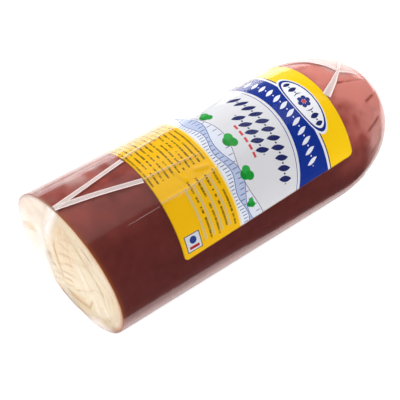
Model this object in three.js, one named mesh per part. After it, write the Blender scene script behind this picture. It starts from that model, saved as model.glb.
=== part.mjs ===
// Half a stick of smoked cheese in a shrink-film bag.
//
// A round loaf of pale processed cheese lies on its side in a smooth red-brown
// smoked casing. One end is cut flat and shows the cheese, the other end is the
// rounded end of the casing. A paper label is wrapped over the top and the near
// side, and a clear shrink-film bag encloses the whole. The bag is welded
// across the cut, where the weld stands out as a fin with an ear at each
// corner, and it is pleated over the far end.
//
// Millimetres. +X runs along the loaf from the cut to the rounded end, +Z is up.
// The origin is the middle of the foot of the whole part's box.

import * as THREE from 'three';

// ---------------------------------------------------------------- dimensions

const LOAF_R = 42; // outside radius of the wrapped loaf
const TIP_X = 4.92 * LOAF_R; // middle of the cut to the tip of the round end
const DOME_LEN = 1.25 * LOAF_R; // length of the rounded end
const DOME_FULLNESS = 0.8; // below 1 the rounded end is blunter than an ellipse
const REST_CUT = 0.7; // how far its own weight has pressed the loaf's foot flat

const CUT_LEAN_Y = 0.091; // the knife ran a little askew: fall per mm across
const CUT_LEAN_Z = 0.055; // and per mm upward

const GAP = 0.3; // clearance between neighbouring pieces
const FILM_T = 0.3;
const LABEL_T = 0.25;
const CASING_T = 0.6;

const LABEL_R = LOAF_R - FILM_T - GAP; // outside radius of the label
const CASING_R = LABEL_R - LABEL_T - GAP; // outside radius of the casing
const CHEESE_R = CASING_R - CASING_T - GAP; // radius of the cheese

const LABEL_FRONT = 1.0 * LOAF_R; // cut to the label's front edge
const LABEL_BACK = 3.71 * LOAF_R; // cut to the label's back edge
const LABEL_TOP_DEG = 62; // upper edge, measured round from the top of the loaf
const LABEL_LOW_FRONT_DEG = -76; // lower edge at the front: it was stuck on askew
const LABEL_LOW_BACK_DEG = -70; // lower edge at the back
const LABEL_CORNER = 3; // corner radius

const FOLD_H = 0.8; // height of the two folds that fan out from the top corner
const FOLD_LEN = 1.0 * LOAF_R; // their length
const FOLD_DEG = 12; // their bearing from the top at that length
const FOLD_HALF_DEG = 1.7; // half their width
const FOLD_FADE = 0.15; // they run out over this much more of their length
const PINCH = 0.12; // share of the spread that is left at the rim
const PINCH_FULL_DEG = 14; // the film is gathered fully inside this angle
const PINCH_END_DEG = 50; // and not at all outside this one

const PLEAT_H = 0.7; // height of the pleat that runs over the rounded end
const PLEAT_START = 4.1 * LOAF_R; // where it starts on the shoulder
const PLEAT_RISE = 0.1 * LOAF_R; // length over which it rises
const PLEAT_DEG = -8; // its bearing from the top
const PLEAT_HALF_DEG = 2.2; // half its width

const RIM_ROUND = 0.8; // radius with which the film turns over the cut's rim
const WELD_REACH = 0.93; // height of the weld as a share of the loaf's
const WELD_BOW = 0.46 * LOAF_R; // the weld bows towards the far side
const SLIT_OUT_W = 0.75; // half width of the bag's mouth at the weld, outside
const SLIT_IN_W = 0.4; // and inside
const FIN_T = 0.8; // thickness of the welded fin at its foot
const FIN_EDGE_T = 0.4; // and at its free edge
const FIN_LEAN = new THREE.Vector3(-0.72, 0.64, -0.26).normalize();
const FIN_MIN = 0.05 * LOAF_R; // the fin's width between its ears
const FIN_START = 0.04; // start of the fin, as a share of the weld from the top
const FIN_END = 0.985; // and its end
const FIN_TAPER = 0.25; // share over which it widens from nothing at the top
const EARS = [
  { at: 0.6, spread: 0.13, reach: 0.36 * LOAF_R }, // the upper corner, drawn down
  { at: 0.95, spread: 0.06, reach: 0.16 * LOAF_R }, // the lower corner
];

const CURD_RELIEF = 0.45; // depth of the drag marks that the knife left
const RELIEF_POWER = 6; // how late the marks die away towards the rim
const STROKE = { y: 0.6, z: 0.8 }; // direction in which the knife was drawn
const WANDERS = [ // slow bends of the marks: height, and turn per mm along them
  { height: 1.6, turn: 0.11, shift: 0 },
  { height: 0.8, turn: 0.27, shift: 1 },
];
const MARKS = [ // share of the depth, and turn per mm across and along the marks
  { share: 0.32, turn: 0.42, skew: 0 },
  { share: 0.18, turn: 1.15, skew: 0.35 },
];

// --------------------------------------------------------------- facet counts

const SEGMENTS = 60; // steps round the inner pieces
const DOME_RINGS = 9; // rings of their rounded end
const FACE_RINGS = 13; // rings of the cheese's cut face
const FILM_DOME_OUTER = 10; // rings of the film's rounded end, outside
const FILM_DOME_INNER = 7; // and inside
const LABEL_COLUMNS = 26; // steps round the label
const LABEL_ROWS = 6; // steps along it, between its corners
const FIN_COLUMNS = 40; // steps along the fin

const CORNER_SHARES = [0, 0.1, 0.35, 0.7]; // stations on a corner of the label
const FOLD_STATIONS = [1 + FOLD_FADE, 1, 0.6, 0.25]; // rings along the folds
const SHEET_SHARES = [0.3, 0.65]; // rings between the rim of the cut and the weld

const CROWN_DEG = [0, 4, 8]; // bearings of the film between pleat and fold
const FLANK_DEG = [18, 23, 29, 36, 43]; // on the flanks beside the folds
const SIDE_DEG = [50, 170]; // first and last on the sides
const SIDE_COUNT = 20; // steps between them
const FOOT_DEG = [175, 180, 185]; // and at the foot

// ------------------------------------------------------------------- helpers

const rad = THREE.MathUtils.degToRad;

/** x of the cut plane at a point across the loaf. */
const cutX = (y, z) => -CUT_LEAN_Y * y - CUT_LEAN_Z * z;

/** A point on a circle round the loaf's axis, by bearing from the top. */
function roundAxis(x, radius, deg) {
  const a = rad(deg);
  return new THREE.Vector3(x, radius * Math.sin(a), radius * Math.cos(a));
}

/** Lifts a point to the pressed foot of the skin that lies this far inside. */
function pressed(p, inset) {
  p.z = Math.max(p.z, REST_CUT - LOAF_R + inset);
  return p;
}

/** Evenly spaced bearings, going round once. */
function evenBearings(count) {
  return Array.from({ length: count }, (_, i) => (360 * i) / count);
}

/** Numbers from a to b, both included. */
function steps(a, b, count) {
  return Array.from({ length: count + 1 }, (_, i) => a + ((b - a) * i) / count);
}

/** Place and radius of the rounded end at a share of a quarter turn. */
function domeStation(share, inset) {
  const a = (share * Math.PI) / 2;
  const x = TIP_X - DOME_LEN + (DOME_LEN - inset) * Math.sin(a);
  const radius = (LOAF_R - inset) * Math.max(Math.cos(a), 0) ** DOME_FULLNESS;
  return { x, radius };
}

/** The middle of the rounded end, as a ring of one point. */
const tipPole = (inset) => [new THREE.Vector3(domeStation(1, inset).x, 0, 0)];

/** Closes a row of rings into a solid. A ring of one point is a pole. */
function loft(rings) {
  const positions = [];
  const starts = rings.map((ring) => {
    const start = positions.length / 3;
    ring.forEach((p) => positions.push(p.x, p.y, p.z));
    return start;
  });
  const index = [];
  for (let r = 0; r + 1 < rings.length; r += 1) {
    joinRings(index, rings[r].length, starts[r], rings[r + 1].length, starts[r + 1]);
  }
  return bodyGeometry(positions, index);
}

/** Adds the faces between two neighbouring rings. */
function joinRings(index, countA, a, countB, b) {
  const count = Math.max(countA, countB);
  for (let i = 0; i < count; i += 1) {
    const j = (i + 1) % count;
    if (countA > 1) {
      index.push(a + i, a + j, countB > 1 ? b + j : b);
    }
    if (countB > 1) {
      index.push(countA > 1 ? a + i : a, b + j, b + i);
    }
  }
}

function bodyGeometry(positions, index) {
  const geometry = new THREE.BufferGeometry();
  geometry.setAttribute('position', new THREE.Float32BufferAttribute(positions, 3));
  geometry.setIndex(index);
  geometry.computeVertexNormals();
  return geometry;
}

function piece(name, geometry, material) {
  const mesh = new THREE.Mesh(geometry, material);
  mesh.name = name;
  return mesh;
}

/** Rings of the rounded end, from the tip forwards. */
function domeRings(inset, bearings, count) {
  const rings = [tipPole(inset)];
  steps(0, 1, count).slice(0, -1).reverse().forEach((share) => {
    const { x, radius } = domeStation(share, inset);
    rings.push(bearings.map((deg) => pressed(roundAxis(x, radius, deg), inset)));
  });
  return rings;
}

/** One ring on the cut plane, for a skin that lies this far inside. */
function cutRing(radius, inset, bearings) {
  return bearings.map((deg) => {
    const p = pressed(roundAxis(0, radius, deg), inset);
    p.x = cutX(p.y, p.z);
    return p;
  });
}

// -------------------------------------------------------------------- cheese

/** Depth of the knife's drag marks: long slanting streaks, deepest mid-face. */
function curdRelief(y, z) {
  const along = STROKE.z * z + STROKE.y * y;
  const across = STROKE.z * y - STROKE.y * z;
  const wander = WANDERS
    .map(({ height, turn, shift }) => height * Math.sin(along * turn + shift))
    .reduce((sum, bend) => sum + bend, 0);
  const waves = MARKS
    .map(({ share, turn, skew }) => share * Math.sin((across + wander) * turn + skew * along))
    .reduce((sum, wave) => sum + wave, 0);
  const rim = 1 - (Math.hypot(y, z) / CHEESE_R) ** RELIEF_POWER;
  return CURD_RELIEF * rim * (0.5 + waves);
}

function cheeseGeometry() {
  const bearings = evenBearings(SEGMENTS);
  const inset = LOAF_R - CHEESE_R;
  const rings = domeRings(inset, bearings, DOME_RINGS);
  rings.push(cutRing(CHEESE_R, inset, bearings));
  for (let i = FACE_RINGS - 1; i > 0; i -= 1) {
    const ring = cutRing((CHEESE_R * i) / FACE_RINGS, inset, bearings);
    ring.forEach((p) => { p.x += curdRelief(p.y, p.z); });
    rings.push(ring);
  }
  rings.push([new THREE.Vector3(curdRelief(0, 0), 0, 0)]);
  return loft(rings);
}

// -------------------------------------------------------------------- casing

/** A thin cup: closed over the rounded end, open at the cut. */
function casingGeometry() {
  const bearings = evenBearings(SEGMENTS);
  const skin = (inset) => [
    ...domeRings(inset, bearings, DOME_RINGS),
    cutRing(LOAF_R - inset, inset, bearings),
  ];
  const inset = LOAF_R - CASING_R;
  return loft([...skin(inset), ...skin(inset + CASING_T).reverse()]);
}

// --------------------------------------------------------------------- label

/** How far a rounded corner draws an edge in, at a distance from the end. */
function cornerDraw(fromEnd) {
  const short = Math.max(LABEL_CORNER - fromEnd, 0);
  return LABEL_CORNER - Math.sqrt(Math.max(LABEL_CORNER ** 2 - short ** 2, 0));
}

/** Bearings of the label's lower and upper edge at a place along the loaf. */
function labelEdges(x) {
  const t = (x - LABEL_FRONT) / (LABEL_BACK - LABEL_FRONT);
  const draw = cornerDraw(Math.min(x - LABEL_FRONT, LABEL_BACK - x));
  const drawDeg = THREE.MathUtils.radToDeg(draw / LABEL_R);
  return {
    low: THREE.MathUtils.lerp(LABEL_LOW_FRONT_DEG, LABEL_LOW_BACK_DEG, t) + drawDeg,
    high: LABEL_TOP_DEG - drawDeg,
  };
}

/** A curved plate, as one closed loop of rings along the loaf. */
function labelGeometry() {
  const corner = CORNER_SHARES.map((share) => share * LABEL_CORNER);
  const front = corner.map((d) => LABEL_FRONT + d);
  const back = corner.map((d) => LABEL_BACK - d).reverse();
  const middle = steps(LABEL_FRONT + LABEL_CORNER, LABEL_BACK - LABEL_CORNER, LABEL_ROWS);
  const stations = [...front, ...middle, ...back];
  const shares = steps(0, 1, LABEL_COLUMNS);
  const positions = [];
  [LABEL_R, LABEL_R - LABEL_T].forEach((radius) => {
    stations.forEach((x) => {
      const { low, high } = labelEdges(x);
      shares.forEach((share) => {
        const p = roundAxis(x, radius, THREE.MathUtils.lerp(low, high, share));
        positions.push(p.x, p.y, p.z);
      });
    });
  });
  return bodyGeometry(positions, plateIndex(stations.length, shares.length));
}

/** Faces of a plate given as two grids of rows by columns, outer grid first. */
function plateIndex(rows, columns) {
  const index = [];
  const inner = rows * columns;
  const quad = (a, b, c, d) => index.push(a, b, c, a, c, d);
  for (let r = 0; r + 1 < rows; r += 1) {
    for (let c = 0; c + 1 < columns; c += 1) {
      const at = r * columns + c;
      quad(at, at + columns, at + columns + 1, at + 1);
      quad(inner + at, inner + at + 1, inner + at + columns + 1, inner + at + columns);
    }
    const low = r * columns;
    const high = low + columns - 1;
    quad(low, low + inner, low + columns + inner, low + columns);
    quad(high, high + columns, high + columns + inner, high + inner);
  }
  for (let c = 0; c + 1 < columns; c += 1) {
    const last = (rows - 1) * columns + c;
    quad(c, c + 1, c + 1 + inner, c + inner);
    quad(last, last + inner, last + 1 + inner, last + 1);
  }
  return index;
}

// ------------------------------------------------------------------ film bag

/** Bearings round the film, closer where the folds and the pleat run. */
function filmBearings() {
  const fold = [FOLD_DEG - FOLD_HALF_DEG, FOLD_DEG, FOLD_DEG + FOLD_HALF_DEG];
  const pleat = [PLEAT_DEG - PLEAT_HALF_DEG, PLEAT_DEG, PLEAT_DEG + PLEAT_HALF_DEG];
  const far = [...fold, ...FLANK_DEG, ...steps(...SIDE_DEG, SIDE_COUNT)];
  const near = far.map((deg) => -deg);
  return [...near, ...pleat, ...CROWN_DEG, ...far, ...FOOT_DEG]
    .map((deg) => (deg + 360) % 360)
    .sort((a, b) => a - b);
}

/** Signed bearing, between -180 and 180. */
const signed = (deg) => (deg > 180 ? deg - 360 : deg);

/** The film is gathered towards the top corner near the rim. */
function gathered(deg, x) {
  const s = signed(deg);
  const spread = THREE.MathUtils.clamp(x / FOLD_LEN, 0, 1);
  const share = 1 - THREE.MathUtils.smoothstep(Math.abs(s), PINCH_FULL_DEG, PINCH_END_DEG);
  return s * (1 - (1 - PINCH) * (1 - spread) * share);
}

/** Height of a ridge with straight flanks. */
const ridge = (off, half) => Math.max(1 - Math.abs(off) / half, 0);

/** How far the film stands proud, by nominal bearing and place. */
function filmProud(deg, x) {
  const s = signed(deg);
  const toEnd = (1 + FOLD_FADE) * FOLD_LEN - x;
  const fade = THREE.MathUtils.clamp(toEnd / (FOLD_FADE * FOLD_LEN), 0, 1);
  const fold = FOLD_H * fade * ridge(Math.abs(s) - FOLD_DEG, FOLD_HALF_DEG);
  const onDome = THREE.MathUtils.clamp((x - PLEAT_START) / PLEAT_RISE, 0, 1);
  const pleat = PLEAT_H * onDome * ridge(s - PLEAT_DEG, PLEAT_HALF_DEG);
  return fold + pleat;
}

/** A ring of film round the loaf, pressed flat where it rests. */
function filmRing(x, radius, inset, bearings, atX = () => x) {
  return bearings.map((deg) => {
    const proud = inset > 0 ? 0 : filmProud(deg, x);
    const p = pressed(roundAxis(x, radius + proud, gathered(deg, x)), inset);
    p.x = atX(p);
    return p;
  });
}

/** A point of the weld's foot on the cut, from the top (0) to the bottom (1). */
function weldFoot(share, standOff) {
  const z = LOAF_R * WELD_REACH * (1 - 2 * share);
  const y = WELD_BOW * Math.sin(Math.PI * share);
  return new THREE.Vector3(cutX(y, z) - standOff, y, z);
}

/** Width of the welded fin along the weld, with its two ears. */
function finWidth(share) {
  const bumps = EARS.map(({ at, spread, reach }) => (
    reach * Math.exp(-(((share - at) / spread) ** 2))
  ));
  const taper = Math.min(1, share / FIN_TAPER);
  return taper * (FIN_MIN + bumps.reduce((sum, bump) => sum + bump, 0));
}

/** Unit direction through the fin's thickness. */
function throughFin() {
  const across = new THREE.Vector3(0, 1, 0);
  return across.addScaledVector(FIN_LEAN, -across.dot(FIN_LEAN)).normalize();
}

/** The ring where the bag narrows to its mouth, along the foot of the weld. */
function mouthRing(halfWidth, standOff, inset, bearings) {
  const across = throughFin();
  return bearings.map((deg) => {
    const a = rad(deg);
    const p = weldFoot((1 - Math.cos(a)) / 2, standOff);
    p.addScaledVector(across, halfWidth * Math.sin(a));
    return pressed(p, inset);
  });
}

/** The fin: a thin plate that leans out from the weld, widest at its ears. */
function finGeometry() {
  const across = throughFin();
  const rows = [0, 0.5, 1];
  const shares = steps(FIN_START, FIN_END, FIN_COLUMNS);
  const standOff = FILM_T + 3 * GAP;
  const positions = [];
  [-1, 1].forEach((side) => {
    rows.forEach((row) => {
      const half = THREE.MathUtils.lerp(FIN_T, FIN_EDGE_T, row) / 2;
      shares.forEach((share) => {
        const p = weldFoot(share, standOff);
        p.addScaledVector(FIN_LEAN, row * finWidth(share));
        p.addScaledVector(across, side * half);
        positions.push(...pressed(p, FILM_T).toArray());
      });
    });
  });
  return bodyGeometry(positions, plateIndex(rows.length, shares.length));
}

/** A ring on the flat sheet over the cut, between the rim and the weld. */
function sheetRing(share, rimRing, weldRing) {
  return rimRing.map((p, i) => p.clone().lerp(weldRing[i], share));
}

/** One skin of the bag, from the tip of the rounded end to the mouth. */
function filmSkin(inset, bearings, domeCount, stations, shares) {
  const radius = LOAF_R - inset;
  const rings = [tipPole(inset)];
  steps(0, 1, domeCount).slice(0, -1).reverse().forEach((share) => {
    const { x, radius: domeRadius } = domeStation(share, inset);
    rings.push(filmRing(x, domeRadius, inset, bearings));
  });
  stations.forEach((x) => rings.push(filmRing(x, radius, inset, bearings)));

  const standOff = GAP + FILM_T - inset;
  const overCut = (behind) => (p) => cutX(p.y, p.z) - standOff + behind;
  const shoulder = filmRing(0, radius, inset, bearings, overCut(RIM_ROUND));
  const rim = filmRing(0, radius - RIM_ROUND, inset, bearings, overCut(0));
  const mouth = mouthRing(inset > 0 ? SLIT_IN_W : SLIT_OUT_W, standOff, inset, bearings);
  rings.push(shoulder, rim);
  shares.forEach((share) => rings.push(sheetRing(share, rim, mouth)));
  rings.push(mouth);
  return rings;
}

/** A bag of even wall. The slit under the welded fin is its mouth. */
function filmGeometry() {
  const bearings = filmBearings();
  const along = FOLD_STATIONS.map((share) => share * FOLD_LEN);
  const ends = [along[0], along[along.length - 1]];
  const outer = filmSkin(0, bearings, FILM_DOME_OUTER, along, SHEET_SHARES);
  const inner = filmSkin(FILM_T, bearings, FILM_DOME_INNER, ends, SHEET_SHARES);
  return loft([...outer, ...inner.reverse()]);
}

// ----------------------------------------------------------------- materials

const cheeseMaterial = new THREE.MeshStandardMaterial({
  color: '#f3e3c2', roughness: 0.55, metalness: 0,
});
const casingMaterial = new THREE.MeshStandardMaterial({
  color: '#6a2f2c', roughness: 0.3, metalness: 0,
});
const labelMaterial = new THREE.MeshStandardMaterial({
  color: '#f6cf2a', roughness: 0.5, metalness: 0,
});
const filmMaterial = new THREE.MeshStandardMaterial({
  color: '#f4f6f7', roughness: 0.08, metalness: 0, transparent: true, opacity: 0.22,
});

// ------------------------------------------------------------------ assembly

const group = new THREE.Group();
group.add(
  piece('cheese', cheeseGeometry(), cheeseMaterial),
  piece('casing', casingGeometry(), casingMaterial),
  piece('label', labelGeometry(), labelMaterial),
  piece('film_bag', filmGeometry(), filmMaterial),
  piece('film_fin', finGeometry(), filmMaterial),
);

const box = new THREE.Box3().setFromObject(group, true);
group.position.set(-(box.min.x + box.max.x) / 2, -(box.min.y + box.max.y) / 2, -box.min.z);
group.updateMatrixWorld(true);

export default group;
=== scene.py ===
# Half a stick of smoked cheese in clear shrink film: a lesson in cells.
#
# The loaf lies on its side. One end is cut flat and shows pale cheese, the other
# end is round. From the inside out there are five things to make: the cheese,
# its red-brown casing, a printed paper label, the clear bag that is shrunk over
# all of it, and the folds and the weld of that bag. Lengths are in metres, except
# where a name ends in _mm or in _r, for millimetres or for radii of the loaf.

# %% [markdown]
# ## The imported model as a fixed frame
# The solids were made first, at real size. They could be scaled by eye to suit
# a picture, but then nothing would fit. So they are loaded as a frame that is
# never moved, and each new piece is worked out from their boxes.

import math

import bmesh
import bpy
import numpy as np
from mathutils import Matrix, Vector


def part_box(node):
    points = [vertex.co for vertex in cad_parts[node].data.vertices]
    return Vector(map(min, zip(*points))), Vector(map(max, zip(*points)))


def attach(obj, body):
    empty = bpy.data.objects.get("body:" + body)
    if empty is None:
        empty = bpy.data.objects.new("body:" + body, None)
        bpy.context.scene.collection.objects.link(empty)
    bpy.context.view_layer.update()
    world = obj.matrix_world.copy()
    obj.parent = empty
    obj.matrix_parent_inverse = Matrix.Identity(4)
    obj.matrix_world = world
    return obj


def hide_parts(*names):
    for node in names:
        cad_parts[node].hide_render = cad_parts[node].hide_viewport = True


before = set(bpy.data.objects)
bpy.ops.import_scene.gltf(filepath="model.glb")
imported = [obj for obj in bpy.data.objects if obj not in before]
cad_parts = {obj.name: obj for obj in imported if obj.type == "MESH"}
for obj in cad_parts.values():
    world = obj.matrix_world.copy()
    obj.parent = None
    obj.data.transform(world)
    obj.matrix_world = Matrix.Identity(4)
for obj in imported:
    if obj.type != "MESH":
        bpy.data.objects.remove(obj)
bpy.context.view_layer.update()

# %% Sizes of the loaf, in metres
MM = 0.001
LOAF_R = 42 * MM  # outside of the film
LENGTH = 4.92 * LOAF_R  # middle of the cut to the tip of the round end
DOME_LEN = 1.25 * LOAF_R
DOME_FULLNESS = 0.8  # below 1 the round end is blunter than an ellipse
KNIFE_SLANT = (0.091, 0.055)  # the knife ran a little askew, along y and along z

casing_low, casing_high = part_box("casing")
TIP_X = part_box("film_bag")[1].x
CUT_X = TIP_X - LENGTH
AXIS_Z = casing_high.z - (casing_high.y - casing_low.y) / 2
CUT_CENTRE = Vector((CUT_X, 0, AXIS_Z))
CUT_NORMAL = -Vector((1, *KNIFE_SLANT)).normalized()
print("cut centre:", tuple(round(v, 4) for v in CUT_CENTRE))

# %% [markdown]
# ## Helpers for modelling by hand in code
# A modeller adds a primitive, goes into edit mode, picks an edge or a face and
# extrudes it. The helpers below are the picking hand: they choose by place, so
# that the operators that follow do the same thing on every run.

# %% Naming, picking and finishing
def fresh(name):
    """Names the object that was just added and puts its place into its mesh."""
    piece = bpy.context.object
    piece.name = name
    piece.data.name = name
    bpy.ops.object.transform_apply(location=True, rotation=True, scale=True)
    return piece


def pick_edges(test):
    """In edit mode, selects the edges of the active mesh that pass a test."""
    bpy.ops.mesh.select_mode(type="EDGE")
    bpy.ops.mesh.select_all(action="DESELECT")
    mesh = bmesh.from_edit_mesh(bpy.context.object.data)
    for edge in mesh.edges:
        edge.select_set(test(edge))
    bmesh.update_edit_mesh(bpy.context.object.data)


def wall(piece, thickness, offset=-1):
    """Gives a sheet a wall, inwards unless told otherwise."""
    solidify = piece.modifiers.new("wall", "SOLIDIFY")
    solidify.thickness = thickness
    solidify.offset = offset
    bpy.context.view_layer.objects.active = piece
    bpy.ops.object.modifier_apply(modifier="wall")


def points_of(piece):
    """The places of a mesh's vertices, as rows of x, y and z."""
    flat = np.empty(len(piece.data.vertices) * 3)
    piece.data.vertices.foreach_get("co", flat)
    return flat.reshape(-1, 3)


def normals_of(piece):
    """Which way the surface faces at each vertex, as rows of x, y and z."""
    flat = np.empty(len(piece.data.vertices) * 3)
    piece.data.vertex_normals.foreach_get("vector", flat)
    return flat.reshape(-1, 3)


def move_points(piece, points):
    """Puts a mesh's vertices at new places."""
    piece.data.vertices.foreach_set("co", points.ravel())
    piece.data.update()


def note(piece, name, values):
    """Keeps one number for each vertex, which a material can read."""
    kept = piece.data.attributes.new(name, "FLOAT", "POINT")
    kept.data.foreach_set("value", np.asarray(values, dtype=np.float32))


def give_uv(piece, u, v):
    """Puts each vertex at its place on the piece's UV map."""
    uv = piece.data.uv_layers.active.data
    for loop in piece.data.loops:
        uv[loop.index].uv = (u[loop.vertex_index], v[loop.vertex_index])


def smooth(piece, degrees):
    """Shades a piece smooth, but for edges that are sharper than this."""
    bpy.ops.object.select_all(action="DESELECT")
    piece.select_set(True)
    bpy.context.view_layer.objects.active = piece
    bpy.ops.object.shade_smooth_by_angle(angle=math.radians(degrees))


# %% Ramps and humps, for what changes from place to place
def ramp(value, start, end):
    """0 up to the start, 1 from the end on. It runs down if the end is lower."""
    return np.clip((value - start) / (end - start), 0, 1)


def hump(value, centre, width):
    """1 at the centre, and soon 0 on both sides."""
    return np.exp(-(((value - centre) / width) ** 2))


bpy.ops.object.select_all(action="DESELECT")
print("nodes in the frame:", sorted(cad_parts))

# %% [markdown]
# ## A skin of the loaf
# The cheese, the casing and the film share one form: a tube with a rounded end,
# cut by a slightly slanting plane. It could be a cylinder with a half sphere
# stuck on, but the real end is blunter. So a ring is drawn out along the loaf by
# extruding, made smaller at each step as the round end asks, and merged at the
# tip. The straight stretch is one long extrusion that is subdivided afterwards,
# and the slanting cut is one bisect.

# %% Draw one skin
LEAD = 0.16 * LOAF_R  # what the slanting cut takes off


def dome_radius(x, inset):
    """Radius of the round end at x, for the skin that lies this far inside."""
    share = np.clip((x - TIP_X + DOME_LEN) / (DOME_LEN - inset), 0, 1)
    return (LOAF_R - inset) * (1 - share**2) ** (DOME_FULLNESS / 2)


def draw_out(distance, x, scale):
    """Extrudes the selected ring along the loaf and scales it about the axis."""
    bpy.ops.mesh.extrude_region_move(TRANSFORM_OT_translate={"value": (distance, 0, 0)})
    bpy.ops.transform.resize(value=(1, scale, scale), center_override=(x, 0, AXIS_Z))


def loaf_skin(name, inset, segments, cuts, dome_steps):
    """A closed-ended tube, open at the slanting cut."""
    start = CUT_X - LEAD
    shoulder = TIP_X - DOME_LEN
    middle = (start + shoulder) / 2
    bpy.ops.mesh.primitive_circle_add(
        vertices=segments,
        radius=LOAF_R - inset,
        location=(start, 0, AXIS_Z),
        rotation=(0, math.pi / 2, 0),
    )
    skin = fresh(name)
    bpy.ops.object.mode_set(mode="EDIT")
    bpy.ops.mesh.select_all(action="SELECT")
    draw_out(middle - start, middle, 1)
    draw_out(shoulder - middle, shoulder, 1)
    x, radius = shoulder, LOAF_R - inset
    for step in range(1, dome_steps):
        turn = math.radians(90 * step / dome_steps)
        next_x = shoulder + (DOME_LEN - inset) * math.sin(turn)
        next_radius = float(dome_radius(next_x, inset))
        draw_out(next_x - x, next_x, next_radius / radius)
        x, radius = next_x, next_radius
    draw_out(TIP_X - inset - x, TIP_X - inset, 1)
    bpy.ops.mesh.merge(type="CENTER")
    stretch = middle - start
    pick_edges(lambda edge: edge.calc_length() > 0.6 * stretch)
    bpy.ops.mesh.subdivide(number_cuts=cuts)
    return skin


# %% Cut it, close the cut and finish it
def cut_square(stand_off):
    """Bisects the active skin by the knife's plane, moved out by a distance."""
    bpy.ops.mesh.select_all(action="SELECT")
    bpy.ops.mesh.bisect(
        plane_co=CUT_CENTRE + stand_off * CUT_NORMAL,
        plane_no=CUT_NORMAL,
        clear_outer=True,
        threshold=1e-7,
    )


def close_cut(rings, stand_off):
    """Draws the selected rim in to the middle of the cut, ring by ring."""
    centre = CUT_CENTRE + stand_off * CUT_NORMAL
    for ring in range(rings, 1, -1):
        bpy.ops.mesh.extrude_region_move()
        bpy.ops.transform.resize(value=((ring - 1) / ring,) * 3, center_override=centre)
    bpy.ops.mesh.extrude_region_move()
    bpy.ops.mesh.merge(type="CENTER")


def past_cut(points):
    """How far points stand out past the knife's plane."""
    return (points - np.array(CUT_CENTRE)) @ np.array(CUT_NORMAL)


def cut_ahead(points):
    """How far beyond the cut's middle, along x, the plane passes each point."""
    return -(KNIFE_SLANT[0] * points[:, 1] + KNIFE_SLANT[1] * (points[:, 2] - AXIS_Z))


def finish_skin(skin, inset):
    """Closes the editing, turns the faces out and presses the foot flat."""
    bpy.ops.mesh.select_all(action="SELECT")
    bpy.ops.mesh.normals_make_consistent(inside=False)
    bpy.ops.object.mode_set(mode="OBJECT")
    points = points_of(skin)
    points[:, 2] = np.maximum(points[:, 2], inset)
    move_points(skin, points)
    print(skin.name, "has", len(skin.data.vertices), "vertices")


# %% [markdown]
# ## Places on the skins
# Creases and folds are easiest to plan on a skin unrolled flat: how far along
# the loaf, and the bearing from its top. These helpers turn such a plan into
# places on the skin, round end included, and measure how far each point of a
# skin is from a crease.

# %% From a flat plan to the loaf
def on_loaf(along_r, bearing_deg, lift):
    """Points on the film at a distance from the cut, in radii, and a bearing."""
    along_r, bearing_deg, lift = np.broadcast_arrays(along_r, bearing_deg, lift)
    x = CUT_X + along_r * LOAF_R
    angle = np.radians(bearing_deg)
    radius = dome_radius(x, 0) + lift
    return np.stack([x, radius * np.sin(angle), AXIS_Z + radius * np.cos(angle)], axis=-1)


def plan_of(points):
    """Distance from the cut, in radii, and bearing in degrees, of some points."""
    along_r = (points[:, 0] - CUT_X) / LOAF_R
    bearing = np.degrees(np.arctan2(points[:, 1], points[:, 2] - AXIS_Z))
    return along_r, bearing


def off_path(px, py, path):
    """Distance from a path on a plan, and how far along it, 0 to 1."""
    best = np.full_like(px, 1e9)
    run = np.zeros_like(px)
    count = len(path) - 1
    for i, ((ax, ay), (bx, by)) in enumerate(zip(path, path[1:])):
        dx, dy = bx - ax, by - ay
        share = np.clip(((px - ax) * dx + (py - ay) * dy) / (dx * dx + dy * dy), 0, 1)
        gap = np.hypot(px - ax - share * dx, py - ay - share * dy)
        run = np.where(gap < best, (i + share) / count, run)
        best = np.minimum(gap, best)
    return best, run


def ridge(px, py, path, half_mm):
    """1 on a path, and soon 0 beside it and beyond its ends."""
    off, run = off_path(px, py, path)
    fade = np.clip(6 * np.minimum(run, 1 - run) + 0.25, 0, 1)
    return hump(off * LOAF_R / MM, 0, half_mm) * fade


def bell(along_r, bearing, crease, half_mm):
    """The same for a crease that is planned by distance and bearing."""
    path = [(a, math.radians(b)) for a, b in crease]
    return ridge(along_r, np.radians(bearing), path, half_mm)


# %% [markdown]
# ## The cheese
# Processed cheese is smooth and dense, and the knife that cut it dragged a
# little: the face has long shallow streaks, a few curved tears, and a rim that
# the casing holds up. A bump in the material would be lost in a mesh, so the
# drag marks are real relief. They are soft random values, drawn out along the
# stroke of the knife in the middle and along the rim near it. The tears are
# placed one by one where the knife snagged. The depth at each point is also
# kept, because the hollows are painted darker, as shade, and so is where the
# face is browner at large.

# %% The body of the cheese
CHEESE_INSET = 1.25 * MM
CHEESE_FACE_RINGS = 110

cheese = loaf_skin("cheese_body", CHEESE_INSET, 360, 6, 18)
cut_square(0)
close_cut(CHEESE_FACE_RINGS, 0)
finish_skin(cheese, CHEESE_INSET)

# %% Soft random values, and strokes of them
TABLE_SIDE = 64
draw = np.random.default_rng(7)


def rough(u, v, rng):
    """Soft random values between 0 and 1, one to each unit of u and of v."""
    table = rng.random((TABLE_SIDE, TABLE_SIDE))
    cell_u, cell_v = np.floor(u).astype(int), np.floor(v).astype(int)
    part_u = 0.5 - 0.5 * np.cos(math.pi * (u - cell_u))
    part_v = 0.5 - 0.5 * np.cos(math.pi * (v - cell_v))

    def corner(step_u, step_v):
        return table[(cell_u + step_u) % TABLE_SIDE, (cell_v + step_v) % TABLE_SIDE]

    low = corner(0, 0) * (1 - part_u) + corner(1, 0) * part_u
    high = corner(0, 1) * (1 - part_u) + corner(1, 1) * part_u
    return low * (1 - part_v) + high * part_v


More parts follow.
